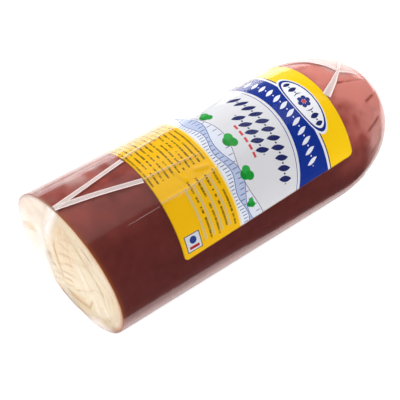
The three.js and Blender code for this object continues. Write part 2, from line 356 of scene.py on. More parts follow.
def strokes(along, across, length, width, rng):
    """Drawn-out marks, long one way and narrow the other, in two sizes."""
    coarse = rough(along / length, across / width, rng)
    fine = rough(2.1 * along / length, 2.3 * across / width, rng)
    return 0.62 * coarse + 0.38 * fine


# %% Drag marks and tears of the cut face
DRAG_DEPTH = 0.5 * MM
STROKE_SLANT = math.radians(62)  # which way the knife went over the face
WANDER = 2.5 * MM  # how far the marks stray from that way

# path of each tear on the face, (y, z) in radii, its half width in mm, its depth
TEARS = [
    ([(0.23, 0.26), (0.30, 0.08), (0.28, -0.25), (0.24, -0.57)], 1.1, 0.9),
    ([(0.21, -0.70), (0.07, -0.76), (-0.09, -0.71), (-0.24, -0.66)], 1.5, 0.9),
    ([(-0.36, -0.40), (-0.28, -0.57), (-0.21, -0.71)], 1.0, 0.9),
    ([(0.14, 0.31), (0.03, 0.30), (-0.05, 0.29)], 1.3, 1.0),
    ([(0.05, 0.82), (0.03, 0.70), (0.0, 0.60)], 1.0, 0.8),
    ([(-0.06, 0.74), (-0.10, 0.64), (-0.20, 0.58)], 0.9, 0.7),
    ([(-0.21, 0.56), (-0.37, 0.37), (-0.54, 0.18), (-0.66, -0.08)], 1.1, 1.0),
    ([(0.01, -0.53), (-0.25, -0.30), (-0.47, -0.05)], 0.8, 0.6),
    ([(0.18, 0.05), (-0.01, 0.17), (-0.18, 0.23)], 0.9, 0.7),
    ([(0.22, -0.18), (0.06, -0.05), (-0.08, 0.02)], 0.8, 0.6),
    ([(-0.41, -0.63), (-0.60, -0.64)], 1.0, 0.7),
    ([(-0.71, -0.45), (-0.87, -0.49)], 1.3, 0.8),
    ([(-0.67, 0.58), (-0.82, 0.40), (-0.9, 0.2)], 1.1, 0.6),
]

points = points_of(cheese)
y, z = points[:, 1], points[:, 2] - AXIS_Z
face_y, face_z = y / LOAF_R, z / LOAF_R
on_face = np.abs(past_cut(points)) < 1e-5
edge_share = np.hypot(y, z) / (LOAF_R - CHEESE_INSET)
along = z * math.cos(STROKE_SLANT) - y * math.sin(STROKE_SLANT)
across = y * math.cos(STROKE_SLANT) + z * math.sin(STROKE_SLANT)
wander = WANDER * rough(along / (14 * MM), across / (14 * MM), draw)
torn = strokes(along, across + wander, 13 * MM, 2.6 * MM, draw)
round_run = np.arctan2(y, z) * 0.8 * LOAF_R
combed = strokes(round_run, edge_share * LOAF_R + wander, 24 * MM, 2.2 * MM, draw)
near_rim = ramp(edge_share, 0.45, 0.75) * ramp(face_y, 0.25, -0.05)
marks = torn * (1 - near_rim) + combed * near_rim
patchy = rough(along / (16 * MM), across / (16 * MM), draw)
calm = hump(face_y, -0.22, 0.3) * hump(face_z, -0.12, 0.34)
strength = (0.25 + 0.55 * np.clip(1.8 * patchy - 0.3, 0, 1)) * (1 - 0.65 * calm)
depth = ramp(marks, 0.42, 0.76) * strength
for tear, half_mm, how_deep in TEARS:
    snag = ridge(face_y, face_z, tear, half_mm)
    depth = np.maximum(depth, how_deep * snag * (0.6 + 0.6 * patchy))
depth = np.clip(depth, 0, 1) * (1 - edge_share**14) * on_face
points -= np.array(CUT_NORMAL) * (DRAG_DEPTH * depth)[:, None]
move_points(cheese, points)
# the depth is kept so that the material can paint shade in the hollows
note(cheese, "drag", depth)
smooth(cheese, 60)
print("deepest drag mark:", round(float(depth.max() * DRAG_DEPTH / MM), 2), "mm")

# %% Where the cut face is browner
SMEAR = [(0.92, -0.04), (0.75, 0.09), (0.61, 0.13)]
FOOT_PATCH = [(0.1, -0.72), (-0.05, -0.66), (-0.25, -0.6)]

browned = 0.75 * ramp(face_z, -0.35, 0.55) * hump(face_y, 0.12, 0.33)
browned = np.maximum(browned, 0.3 * ramp(edge_share, 0.6, 0.9) * (face_z > -0.2))
browned = np.maximum(browned, 0.9 * ridge(face_y, face_z, SMEAR, 3.2))
browned = np.maximum(browned, 0.5 * ridge(face_y, face_z, FOOT_PATCH, 5))
note(cheese, "browned", browned * (0.6 + 0.7 * patchy))
print("brown over the cut, on average:", round(float(browned[on_face].mean()), 2))

# %% [markdown]
# ## The casing
# A smoked stick sits in a tough smooth casing about half a millimetre thick. Its
# cut edge shows as a thin orange-brown line round the cheese, and on the round
# end, where the stick was tied off, it has a few creases, painted dark as shade.
# The same skin is drawn once more, left open at the cut, and given its wall by
# Solidify. Painted light makes the casing paler on its upper side, its round end
# and its underside. It is kept as a number for each point, with the painted
# shade of the creases, because no even pattern could say it.

# %% The casing and its tied creases
CASING_INSET = 0.45 * MM
CASING_WALL = 0.7 * MM
TIED_DEPTH = 0.35 * MM

# plan of each crease, (radii from the cut, bearing in degrees)
TIED_CREASES = [
    [(3.94, -14.0), (4.24, -17.8), (4.6, -18.6)],
    [(4.24, -39.5), (4.36, -38.0), (4.5, -37.2)],
    [(4.08, -61.5), (4.25, -59.3), (4.42, -57.0)],
    [(4.1, -82.6), (4.24, -79.0)],
    [(4.12, 30.0), (4.3, 42.0)],
]

casing = loaf_skin("casing_skin", CASING_INSET, 252, 70, 56)
cut_square(0.1 * MM)
finish_skin(casing, CASING_INSET)
points = points_of(casing)
along_r, bearing = plan_of(points)
tied = sum(bell(along_r, bearing, crease, 0.8) for crease in TIED_CREASES)
points -= normals_of(casing) * (TIED_DEPTH * tied)[:, None]
move_points(casing, points)

# %% Painted light and shade on the casing
# painted light on the round end: how strong, from where to where it grows along the loaf, and round it
TIP_PAINTED_LIGHT = [
    (0.5, (3.2, 3.8), (-96, -56)),
    (0.42, (3.8, 4.15), (-85, -30)),
    (0.18, (3.9, 4.15), (-45, -65)),
    (0.14, (3.95, 4.15), (-10, -20)),
    (0.36, (3.4, 3.7), (-46, -10)),
]

tip_painted_light = sum(
    strength * ramp(along_r, *grows_along) * ramp(bearing, *grows_round)
    for strength, grows_along, grows_round in TIP_PAINTED_LIGHT
)
tip_painted_light *= ramp(bearing, 125, 65) * ramp(bearing, -165, -125)
# painted light on the upper side, and fainter on the underside, as the floor lights it; the low near
# flank is left darker, as painted shade
top_painted_light = 0.5 * ramp(bearing, -42, 26) * ramp(bearing, 90, 52)
under_painted_light = 0.12 * ramp(bearing, -95, -105) * ramp(bearing, -178, -148)
flank = 0.045 * ramp(bearing, -74, -58) * ramp(bearing, 150, 120)
painted_light_and_shade = np.maximum(top_painted_light, tip_painted_light) + under_painted_light + flank
at_tip = ramp(along_r, 4.5, 4.8)
painted_light_and_shade = painted_light_and_shade * (1 - at_tip) + 0.85 * at_tip
mottled = rough(points[:, 0] / (9 * MM), np.radians(bearing) * 5, draw)
mottled += 0.6 * rough(points[:, 0] / (3 * MM), np.radians(bearing) * 14, draw)
painted_light_and_shade += 0.3 * (mottled - 0.8) * np.clip(painted_light_and_shade * 3, 0.15, 1)
# painted shade: the tied creases are darker
note(casing, "painted_light_and_shade", np.clip(painted_light_and_shade - 0.8 * tied, 0, 1))
note(casing, "edge", np.exp(-np.abs(past_cut(points)) / (0.75 * MM)))
wall(casing, CASING_WALL)
smooth(casing, 50)
print("palest casing:", round(float(painted_light_and_shade.max()), 2))

# %% [markdown]
# ## The shrink-film bag
# Clear film is shrunk over the loaf by hot air. It clings, but it keeps fine
# creases: ridges that run on from the folds over the label, pleats where it
# gathers over the round end, and puckers over the cut. A cloth simulation would
# guess them; here each crease is placed where the real one runs, as a ridge with
# a soft flank. The mesh is packed closer on the top, where most creases are.
# Where the film is gathered, creased or slack it turns milky, above all over the
# cut, where a white band runs down from the rim. The same milky white is also
# painted light: a glow over the cut beside the weld and at its foot, and a sheen
# on the round end and along the top. The haze and the painted light are kept
# with the mesh.

# %% The bag
FILM_WALL = 0.1 * MM
RIM_TURN = 0.5 * MM  # the film turns over the rim of the cut with this radius
FILM_FACE_RINGS = 26

film = loaf_skin("film_bag_clear", 0, 200, 80, 48)
cut_square(0)
reach, radius = 0, LOAF_R
for degrees in (30, 60, 90):
    turn = math.radians(degrees)
    next_reach = RIM_TURN * math.sin(turn)
    next_radius = LOAF_R - RIM_TURN * (1 - math.cos(turn))
    step = (next_reach - reach) * CUT_NORMAL
    bpy.ops.mesh.extrude_region_move(TRANSFORM_OT_translate={"value": step})
    centre = CUT_CENTRE + next_reach * CUT_NORMAL
    bpy.ops.transform.resize(value=(next_radius / radius,) * 3, center_override=centre)
    reach, radius = next_reach, next_radius
close_cut(FILM_FACE_RINGS, RIM_TURN)
finish_skin(film, 0)

# %% Its mesh, packed closer on the top
CLOSER_AT = -10  # bearing where the mesh is closest
CLOSER_BY = 0.45
SLIDE_END = 0.6  # radii from the cut where its slant no longer matters

points = points_of(film)
before = points.copy()
along_r, bearing = plan_of(points)
radius = np.hypot(points[:, 1], points[:, 2] - AXIS_Z)
angle = np.radians(bearing) - CLOSER_BY * np.sin(np.radians(bearing - CLOSER_AT))
points[:, 1] = radius * np.sin(angle)
points[:, 2] = np.maximum(AXIS_Z + radius * np.cos(angle), 0)
points[:, 0] += (cut_ahead(points) - cut_ahead(before)) * ramp(along_r, SLIDE_END, 0)
move_points(film, points)
print("film turned by up to", round(math.degrees(CLOSER_BY)), "degrees")

# %% Its creases
# plan of each crease, its half width and height in millimetres, and its haze
CREASES = [
    ([(0.985, 13.1), (1.42, 15.9), (1.83, 17.7)], 1.1, 0.75, 0.05),
    ([(0.988, -11.3), (1.36, -12.2), (1.78, -13.6)], 1.1, 0.75, 0.05),
    ([(1.0, -31.4), (1.4, -31.7), (1.63, -30.3), (1.87, -27.8)], 1.1, 0.65, 0.03),
    ([(1.35, -13.0), (1.42, -26.3)], 1.2, 0.50, 0.0),
    ([(1.56, -21.0), (1.79, -24.6)], 1.1, 0.60, 0.03),
    ([(2.18, 18.6), (2.67, 27.1), (3.12, 36.2)], 1.0, 0.45, 0.10),
    ([(4.05, -75.0), (4.3, -60.0)], 1.6, 0.40, 0.12),
    ([(0.1, 150.0), (3.6, 158.0)], 1.6, 0.5, 0.35),
]
LABEL_CREASES = CREASES[:6]


def rumple_at(along_r, bearing):
    """Gentle unevenness that the paper and the film over it share, in mm."""
    rng = np.random.default_rng(11)
    round_r = np.radians(bearing) + 4
    soft = strokes(along_r + round_r, round_r - 0.4 * along_r, 0.42, 0.2, rng)
    on_paper = ramp(along_r, 1, 1.1) * ramp(along_r, 3.7, 3.6)
    return 0.3 * soft * on_paper * ramp(np.abs(bearing), 70, 60)


along_r, bearing = plan_of(points)
out = normals_of(film)
on_side = past_cut(points) < -0.2 * MM
proud = rumple_at(along_r, bearing)
haze_and_painted_light = np.zeros(len(points))
for crease, half_mm, height_mm, milk in CREASES:
    near = bell(along_r, bearing, crease, half_mm) * on_side
    proud += height_mm * near
    haze_and_painted_light = np.maximum(haze_and_painted_light, milk * near)
print("highest crease:", round(float(proud.max()), 2), "mm")

# %% Its haze and painted glow over the cut
GATHER = [(-0.02, 1.12), (0.04, 0.94), (0.12, 0.78), (0.22, 0.6), (0.32, 0.4), (0.38, 0.2)]
# where the milky parts and the painted glow begin, beside the weld as (z, y) and at the foot as (y, z)
WELD_LINE = [
    (-0.95, 0.3), (-0.54, 0.44), (-0.19, 0.4), (0.17, 0.34), (0.37, 0.28), (0.66, 0.15), (1.0, 0.02),
]
FOOT_LINE = [
    (-0.89, -0.47), (-0.74, -0.57), (-0.44, -0.64), (-0.26, -0.75), (-0.08, -0.9), (0.2, -0.96),
]
PUCKER_APEX = (-0.05, 1.15)  # the puckers fan out from here, (y, z)

face_y = points[:, 1] / LOAF_R
face_z = (points[:, 2] - AXIS_Z) / LOAF_R
face_share = np.hypot(face_y, face_z)
weld_off = face_y - np.interp(face_z, *zip(*WELD_LINE))
foot_off = np.interp(face_y, *zip(*FOOT_LINE)) - face_z
wavy = 0.06 * (rough(face_y * 14 + 30, face_z * 14 + 30, draw) - 0.5)
weld_band = hump(weld_off, 0.06, 0.08) * ramp(face_z, -0.15, 0.45)
# painted glow: beyond the weld line and below the foot line the film is partly milky, and its white
# also paints the light that makes the cut face glow
milk_and_painted_glow = ramp(weld_off + wavy, 0, 0.16) * (0.52 - 0.16 * ramp(face_z, 0, 0.5))
low_milk_and_painted_glow = 0.5 * ramp(foot_off + wavy, 0, 0.14)
apex_y, apex_z = face_y - PUCKER_APEX[0], PUCKER_APEX[1] - face_z
apex_turn = np.arctan2(apex_y, apex_z) * LOAF_R
apex_far = np.hypot(apex_y, apex_z) * LOAF_R
pucker = ramp(strokes(apex_far, apex_turn, 22 * MM, 1.9 * MM, draw), 0.6, 0.85)
proud += 0.22 * pucker * (1 - face_share**8) * ~on_side
cloudy = 0.75 + 0.5 * rough(face_y * 6 + 20, face_z * 6 + 20, draw)
face_haze_and_painted_glow = np.maximum(milk_and_painted_glow, low_milk_and_painted_glow) * cloudy
face_haze_and_painted_glow *= 1 - 0.7 * ridge(face_y, face_z, SMEAR, 3)
face_haze_and_painted_glow = np.maximum(np.maximum(face_haze_and_painted_glow, 0.7 * weld_band), 0.14 * pucker)
face_haze_and_painted_glow = np.maximum(face_haze_and_painted_glow, 0.8 * ridge(face_y, face_z, GATHER, 2.6))
haze_and_painted_light = np.maximum(haze_and_painted_light, face_haze_and_painted_glow * ~on_side * np.maximum(ramp(face_share, 1, 0.97), 0.2))
print("haze over the cut, on average:", round(float(haze_and_painted_light[~on_side].mean()), 2))

# %% Its haze on the round end, and painted sheen on the round end and along the top
turn_r = np.radians(bearing)
end_haze = 0.08 * ramp(along_r, 3.95, 4.25) * ramp(bearing, -38, -68) * ramp(bearing, -125, -105)
haze_and_painted_light = np.maximum(haze_and_painted_light, end_haze * (0.4 + 1.1 * rough(along_r * 9, turn_r * 6, draw)))
# painted sheen: the top of the round end is whitened, where the light from above is mirrored
tip_painted_sheen = 0.34 * ramp(along_r, 4.0, 4.2) * ramp(along_r, 4.9, 4.7)
tip_painted_sheen *= ramp(bearing, -14, 0) * ramp(bearing, 70, 40)
haze_and_painted_light = np.maximum(haze_and_painted_light, tip_painted_sheen * (0.7 + 0.6 * rough(along_r * 7, turn_r * 6, draw)))
loose = ramp(along_r, 1.0, 0.85) * ramp(bearing, 5, 17) * ramp(bearing, 50, 30) * on_side
clouds = rough(along_r * 9, np.radians(bearing + 360) * 9, draw)
haze_and_painted_light = np.maximum(haze_and_painted_light, 0.24 * loose * np.clip(clouds - 0.15, 0, 1))
# painted sheen: the film is whitened along the upper side, near the outline, where the light from above
# and behind is mirrored
streaks = strokes(along_r, np.radians(bearing + 180), 1.3, 0.07, draw)
far_top_painted_sheen = ramp(bearing, 22, 46) * ramp(bearing, 66, 48) * ramp(along_r, 3.75, 3.35)
far_top_painted_sheen *= np.maximum(ramp(along_r, 0.3, 1.1), 0.12)
haze_and_painted_light = np.maximum(haze_and_painted_light, 0.55 * far_top_painted_sheen * (0.6 + 0.8 * streaks) * on_side)

points += out * (np.maximum(proud, -0.25) * MM)[:, None]
points[:, 2] = np.maximum(points[:, 2], 0)
move_points(film, points)
note(film, "haze_and_painted_light", haze_and_painted_light)
wall(film, FILM_WALL)
smooth(film, 60)
print("haze of the bag, at most:", round(float(haze_and_painted_light.max()), 2))

# %% [markdown]
# ## The label
# The label is paper, wrapped over the top and the near side. A curved plate
# could be cut out of a cylinder, but its print has to lie on it without
# stretching. So it starts as a flat sheet of paper, gets its UV map while it is
# flat, in millimetres, is trimmed by bisects to its skew lower edge and round
# corners, and only then is bent round the loaf with Simple Deform.

# %% The flat sheet
LABEL_FRONT = 1.0 * LOAF_R
LABEL_BACK = 3.71 * LOAF_R
LABEL_INSET = 0.22 * MM
LABEL_PAPER = 0.12 * MM
LABEL_TOP_DEG = 62
LABEL_LOW_DEG = (-76, -70)  # lower edge at the front and at the back
LABEL_CORNER = 3 * MM
UV_SIDE = 120 * MM  # side of the square that the UV map stands for

label_r = LOAF_R - LABEL_INSET
arc = label_r * math.pi / 180  # paper to a degree
sheet_low, sheet_high = LABEL_LOW_DEG[0] * arc, LABEL_TOP_DEG * arc
sheet_length = LABEL_BACK - LABEL_FRONT
sheet_width = sheet_high - sheet_low
sheet_middle = (sheet_low + sheet_high) / 2

bpy.ops.mesh.primitive_grid_add(
    x_subdivisions=190, y_subdivisions=168, size=1, rotation=(math.pi / 2, 0, 0)
)
bpy.context.object.scale = (sheet_length, sheet_width, 1)
label = fresh("paper_label")
print("label paper:", round(sheet_length / MM, 1), "by", round(sheet_width / MM, 1), "mm")

# %% Its print's coordinates and its trimmed outline
flat = points_of(label)
from_front = flat[:, 0] + sheet_length / 2
round_top = flat[:, 2] + sheet_middle
give_uv(label, from_front / UV_SIDE, round_top / UV_SIDE + 0.5)

low_front = Vector((-sheet_length / 2, 0, LABEL_LOW_DEG[0] * arc - sheet_middle))
low_back = Vector((sheet_length / 2, 0, LABEL_LOW_DEG[1] * arc - sheet_middle))
high_front = Vector((-sheet_length / 2, 0, sheet_width / 2))
high_back = Vector((sheet_length / 2, 0, sheet_width / 2))


def trim(place, outwards):
    """Cuts off what lies outside a line on the flat sheet."""
    bpy.ops.mesh.select_all(action="SELECT")
    bpy.ops.mesh.bisect(plane_co=place, plane_no=outwards, clear_outer=True)


bpy.ops.object.mode_set(mode="EDIT")
low_edge = (low_back - low_front).normalized()
trim(low_front, low_edge.cross(Vector((0, -1, 0))))
for corner, way_x, way_z in (
    (low_front, -1, -1),
    (low_back, 1, -1),
    (high_front, -1, 1),
    (high_back, 1, 1),
):
    middle = corner - LABEL_CORNER * Vector((way_x, 0, way_z))
    for degrees in (22.5, 45, 67.5):
        turn = math.radians(degrees)
        outwards = Vector((way_x * math.cos(turn), 0, way_z * math.sin(turn)))
        trim(middle + LABEL_CORNER * outwards, outwards)
bpy.ops.object.mode_set(mode="OBJECT")
print("trimmed label has", len(label.data.vertices), "vertices")

# %% Bend it round the loaf
points = points_of(label)
plan_x = (points[:, 0] + sheet_length / 2 + LABEL_FRONT) / LOAF_R
plan_bearing = (points[:, 2] + sheet_middle) / arc
rumple = rumple_at(plan_x, plan_bearing)
for crease, half_mm, height_mm, _ in LABEL_CREASES:
    rumple += 0.9 * height_mm * bell(plan_x, plan_bearing, crease, half_mm)
points[:, 1] -= rumple * MM
move_points(label, points)
wall(label, LABEL_PAPER, offset=-1)

bend = label.modifiers.new("bend", "SIMPLE_DEFORM")
bend.deform_method = "BEND"
bend.deform_axis = "X"
bend.angle = sheet_width / label_r
bpy.ops.object.modifier_apply(modifier="bend")
middle_bearing = sheet_middle / arc
label.rotation_euler.x = -math.radians(middle_bearing + 90)
bpy.context.view_layer.update()
arc_centre = label.matrix_world.to_3x3() @ Vector((0, label_r, 0))
label_x = CUT_X + (LABEL_FRONT + LABEL_BACK) / 2
label.location = Vector((label_x, 0, AXIS_Z)) - arc_centre
bpy.ops.object.select_all(action="DESELECT")
label.select_set(True)
bpy.ops.object.transform_apply(location=True, rotation=True, scale=True)
smooth(label, 50)
label_points = points_of(label)
label_radii = np.hypot(label_points[:, 1], label_points[:, 2] - AXIS_Z)
print("label radius:", round(float(label_radii.min() / MM), 2), round(float(label_radii.max() / MM), 2))

# %% [markdown]
# ## Flattened folds
# Where the bag was too wide it folded over on itself, and the shrinking ironed
# those folds flat. Two of them fan out from the top of the cut, and more meet in
# a star on the round end. Each is a strip: a grid that is bent along its path,
# a little proud at both rims, where the film turns over, and laid on the loaf.

# %% A strip laid on the loaf
FOLD_FILM = 0.08 * MM
DEGREE = math.radians(1)


def strip(name, path, widths_mm, lift_mm, rim_mm, rows=90):
    """A flattened fold along a path of (radii along, bearing) points."""
    bpy.ops.mesh.primitive_grid_add(x_subdivisions=rows, y_subdivisions=8, size=1)
    fold = fresh(name)
    flat = points_of(fold)
    run, side = flat[:, 0] + 0.5, 2 * flat[:, 1]
    plan = np.array(path) * (1, DEGREE)
    knots = np.linspace(0, 1, len(plan))
    ahead, behind = np.clip(run + 1e-3, 0, 1), np.clip(run - 1e-3, 0, 1)
    at_a, at_b = np.interp(run, knots, plan[:, 0]), np.interp(run, knots, plan[:, 1])
    step_a = np.interp(ahead, knots, plan[:, 0]) - np.interp(behind, knots, plan[:, 0])
    step_b = np.interp(ahead, knots, plan[:, 1]) - np.interp(behind, knots, plan[:, 1])
    size = np.hypot(step_a, step_b)
    half = np.interp(run, np.linspace(0, 1, len(widths_mm)), widths_mm) / 2 * MM / LOAF_R
    at_a = at_a - side * half * step_b / size
    at_b = (at_b + side * half * step_a / size) / DEGREE
    lift = (lift_mm + rim_mm * np.abs(side) ** 3) * MM
    give_uv(fold, run, side / 2 + 0.5)
    move_points(fold, on_loaf(at_a, at_b, lift))
    bpy.ops.object.mode_set(mode="EDIT")
    bpy.ops.mesh.select_all(action="SELECT")
    bpy.ops.mesh.normals_make_consistent(inside=False)
    bpy.ops.object.mode_set(mode="OBJECT")
    wall(fold, FOLD_FILM, offset=1)
    smooth(fold, 60)
    return fold


# %% The two folds that fan out from the cut
FOLD_APEX = (-0.05, 1.4)
FOLD_UPPER = [FOLD_APEX, (0.443, 6.3), (0.975, 12.1)]
FOLD_LOWER = [FOLD_APEX, (0.455, -4.6), (0.98, -11.9)]

fold_upper = strip("fold_upper", FOLD_UPPER, (3.0, 2.6, 2.9), 0.12, 0.3)
fold_lower = strip("fold_lower", FOLD_LOWER, (3.4, 2.9, 2.7), 0.24, 0.3)
print("upper fold has", len(fold_upper.data.vertices), "vertices")

# %% Where the folds run on over the label, as ribs
CREASE_THIN = [(0.53, -33.4), (0.97, -32.6)]

# the ribs are partly real folded film and partly a painted highlight along each ridge
rib_upper = strip("rib_upper", CREASES[0][0], (0.9, 0.7, 0.5), 0.62, 0.05)
rib_lower = strip("rib_lower", CREASES[1][0], (0.9, 0.7, 0.4), 0.62, 0.05)
rib_short = strip("rib_short", CREASES[2][0], (0.7, 0.6, 0.3), 0.52, 0.05, rows=40)
crease_thin = strip("crease_thin", CREASE_THIN, (0.3, 0.45, 0.35), 0.06, 0.02, rows=40)
print("ribs end at", [rib_plan[0][-1] for rib_plan in CREASES[:3]])

# %% The star of pleats on the round end
STAR = (4.17, -5.6)
PLEAT_NEAR = [STAR, (3.94, -14.0), (3.71, -20.9)]
PLEAT_FAR = [STAR, (4.14, 4.0), (4.08, 11.4), (4.02, 17.5), (3.9, 24), (3.76, 31), (3.6, 40)]
PLEAT_TIP = [STAR, (4.33, -8.9), (4.44, -14.5)]
PLEAT_OVER = [STAR, (4.34, 3.4), (4.52, 16.0)]

pleat_near = strip("pleat_near", PLEAT_NEAR, (1.6, 3.4, 4.8), 0.2, 0.35)
pleat_far = strip("pleat_far", PLEAT_FAR, (2.0, 4.2, 5.0, 4.2, 3.0, 1.6, 0.5), 0.2, 0.35)
pleat_tip = strip("pleat_tip", PLEAT_TIP, (2.4, 2.0, 0.5), 0.2, 0.3)
pleat_over = strip("pleat_over", PLEAT_OVER, (1.4, 1.6, 0.5), 0.2, 0.3)
print("star of pleats at", tuple(round(float(v), 4) for v in on_loaf(*STAR, 0)))

# %% [markdown]
# ## The weld
# The bag is welded shut across the cut. The welded seam stands out as a thin fin
# that runs in an arc from the top to the bottom, and at two places its corner
# was drawn out into an ear. A plane strip is laid along that arc and its free
# edge is pulled out by the width of the fin.

# %% The fin
WELD_REACH = 0.93 * LOAF_R  # how high the arc starts above the axis
WELD_BOW = 0.46 * LOAF_R  # and how far it bows to the back
WELD_RUN = (0.04, 0.985)  # the part of the arc that stands out
FIN_LEAN = Vector((-0.72, 0.64, -0.26)).normalized()
FIN_MIN = 0.05 * LOAF_R
FIN_FILM = 0.25 * MM
FIN_GAP = 0.3 * MM
EARS = [(0.6, 0.13, 0.36 * LOAF_R), (0.95, 0.06, 0.16 * LOAF_R)]  # where, spread, size

bpy.ops.mesh.primitive_grid_add(x_subdivisions=160, y_subdivisions=14, size=1)
fin = fresh("film_weld")
flat = points_of(fin)
run = WELD_RUN[0] + (WELD_RUN[1] - WELD_RUN[0]) * (flat[:, 0] + 0.5)
reach = flat[:, 1] + 0.5
foot_y = WELD_BOW * np.sin(math.pi * run)
foot_z = AXIS_Z + WELD_REACH * (1 - 2 * run)
placed = np.stack([np.full_like(run, CUT_X - RIM_TURN - FIN_GAP), foot_y, foot_z], axis=-1)
placed[:, 0] += cut_ahead(placed)
fin_width = FIN_MIN + sum(size * hump(run, at, spread) for at, spread, size in EARS)
fin_width *= ramp(run, 0, 0.25)
placed += np.array(FIN_LEAN) * (reach * fin_width)[:, None]
placed[:, 1] += 0.25 * MM * np.sin(run * 70) * reach**2
placed[:, 2] = np.maximum(placed[:, 2], 0.1 * MM)
give_uv(fin, run, reach)
move_points(fin, placed)
wall(fin, FIN_FILM, offset=0)
smooth(fin, 60)
print("fin reaches to x", round(float(placed[:, 0].min() / MM), 1), "mm")

# %% [markdown]
# ## Materials
# Every colour is an sRGB value as a painter would mix it, and one function turns
# it into the linear light that the renderer adds up. One helper adds a node,
# with its settings and its links, so that a material reads as a list of steps.

# %% Colour and node helpers
MATH = "ShaderNodeMath"
MIX = "ShaderNodeMix"
OF_COLOURS = {"out": 2, "data_type": "RGBA"}  # how a Mix node is set for colours


def linear(code):
    """An sRGB hex colour as linear red, green, blue and alpha."""
    steps = [int(code[i : i + 2], 16) / 255 for i in (0, 2, 4)]
    return tuple(s / 12.92 if s <= 0.04045 else ((s + 0.055) / 1.055) ** 2.4 for s in steps) + (1,)


def blank(name):
    """A new material with an empty node tree."""
    made = bpy.data.materials.new(name)
    made.use_nodes = True
    made.node_tree.nodes.clear()
    return made, made.node_tree


def add(tree, kind, inputs=(), out=0, **settings):
    """Adds a node. An input that is a socket is linked, any other is set."""
    node = tree.nodes.new(kind)
    for key, value in settings.items():
        setattr(node, key, value)
    for key, value in dict(inputs).items():
        if isinstance(value, bpy.types.NodeSocket):
            tree.links.new(value, node.inputs[key])
        else:
            node.inputs[key].default_value = value
    return node.outputs[out] if len(node.outputs) else node


def dress(piece, material, slot_name, *nodes):
    """Gives a piece its material and body, and hides the parts that it replaces. Its slot_name is not
    used.
    """
    piece.data.materials.clear()
    piece.data.materials.append(material)
    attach(piece, "root")
    if nodes:
        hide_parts(*nodes)


# %% [markdown]
# ### Processed cheese, cut with a knife
# The cut face is cream, a little see-through, so light sinks in and softens the
# relief. The hollows of the drag marks are painted more tan, as painted shade,
# and the outermost millimetres, where the smoke went in, are more tan.

# %% Cut cheese
SMOKE_FROM = LOAF_R - 4.2 * MM
SMOKE_TO = LOAF_R - 1.2 * MM

cheese_look, tree = blank("processed_cheese_cut")
place = add(tree, "ShaderNodeTexCoord", out=3)
to_axis = {0: place, "Location": (0, 0, -AXIS_Z), "Scale": (0, 1, 1)}
centred = add(tree, "ShaderNodeMapping", to_axis)
from_axis = add(tree, "ShaderNodeVectorMath", {0: centred}, out=1, operation="LENGTH")
smoked = {0: from_axis, 1: SMOKE_FROM, 2: SMOKE_TO, 3: 0, 4: 1}
smoked = add(tree, "ShaderNodeMapRange", smoked, interpolation_type="SMOOTHSTEP")
marks = add(tree, "ShaderNodeAttribute", out=2, attribute_name="drag")
grain = add(tree, "ShaderNodeTexNoise", {0: place, "Scale": 1 / (2.2 * MM), "Detail": 5})
patches = add(tree, "ShaderNodeTexNoise", {0: place, "Scale": 1 / (11 * MM), "Detail": 3})
# painted shade: the hollows of the drag marks are painted tan, broken up by noise
tone = add(tree, MATH, {0: marks, 1: patches}, operation="MULTIPLY")
tone = add(tree, MATH, {0: tone, 1: grain}, operation="MULTIPLY")
tone = add(tree, "ShaderNodeMapRange", {0: tone, 1: 0.02, 2: 0.26, 3: 0, 4: 1})
browned = add(tree, "ShaderNodeAttribute", out=2, attribute_name="browned")
body = linear("DDCBAA")
for share, colour in ((browned, "D3A868"), (tone, "B07C2E"), (smoked, "B9794C")):
    body = add(tree, MIX, {0: share, 6: body, 7: linear(colour)}, **OF_COLOURS)
bump = add(tree, "ShaderNodeBump", {"Height": grain, "Strength": 0.25, "Distance": 0.15 * MM})
settings = {
    "Base Color": body,
    "Roughness": 0.45,
    "IOR": 1.45,
    "Specular IOR Level": 0.35,
    "Subsurface Weight": 0.25,
    "Subsurface Radius": (1.0, 0.6, 0.3),
    "Subsurface Scale": 1.5 * MM,
    "Normal": bump,
}
surface = add(tree, "ShaderNodeBsdfPrincipled", settings)
add(tree, "ShaderNodeOutputMaterial", {0: surface})
dress(cheese, cheese_look, "cheese", "cheese")
print(cheese_look.name, "has", len(tree.nodes), "nodes")

# %% [markdown]
# ### Smoked casing
# A tight artificial casing, red-brown from the smoke. It is smooth, and what
# makes it look real is unevenness too broad to be called texture: the colour
# drifts over centimetres and is faintly mottled over millimetres.

# %% Casing
casing_look, tree = blank("smoked_casing_smooth")
place = add(tree, "ShaderNodeTexCoord", out=3)
drift = add(tree, "ShaderNodeTexNoise", {0: place, "Scale": 1 / (45 * MM), "Detail": 2})
mottle = add(tree, "ShaderNodeTexNoise", {0: place, "Scale": 1 / (4 * MM), "Detail": 4})
tone = add(tree, MATH, {0: drift, 1: mottle}, operation="ADD")
tone = add(tree, "ShaderNodeMapRange", {0: tone, 1: 0.7, 2: 1.3, 3: 0, 4: 1})
skin = add(tree, MIX, {0: tone, 6: linear("592321"), 7: linear("642A28")}, **OF_COLOURS)
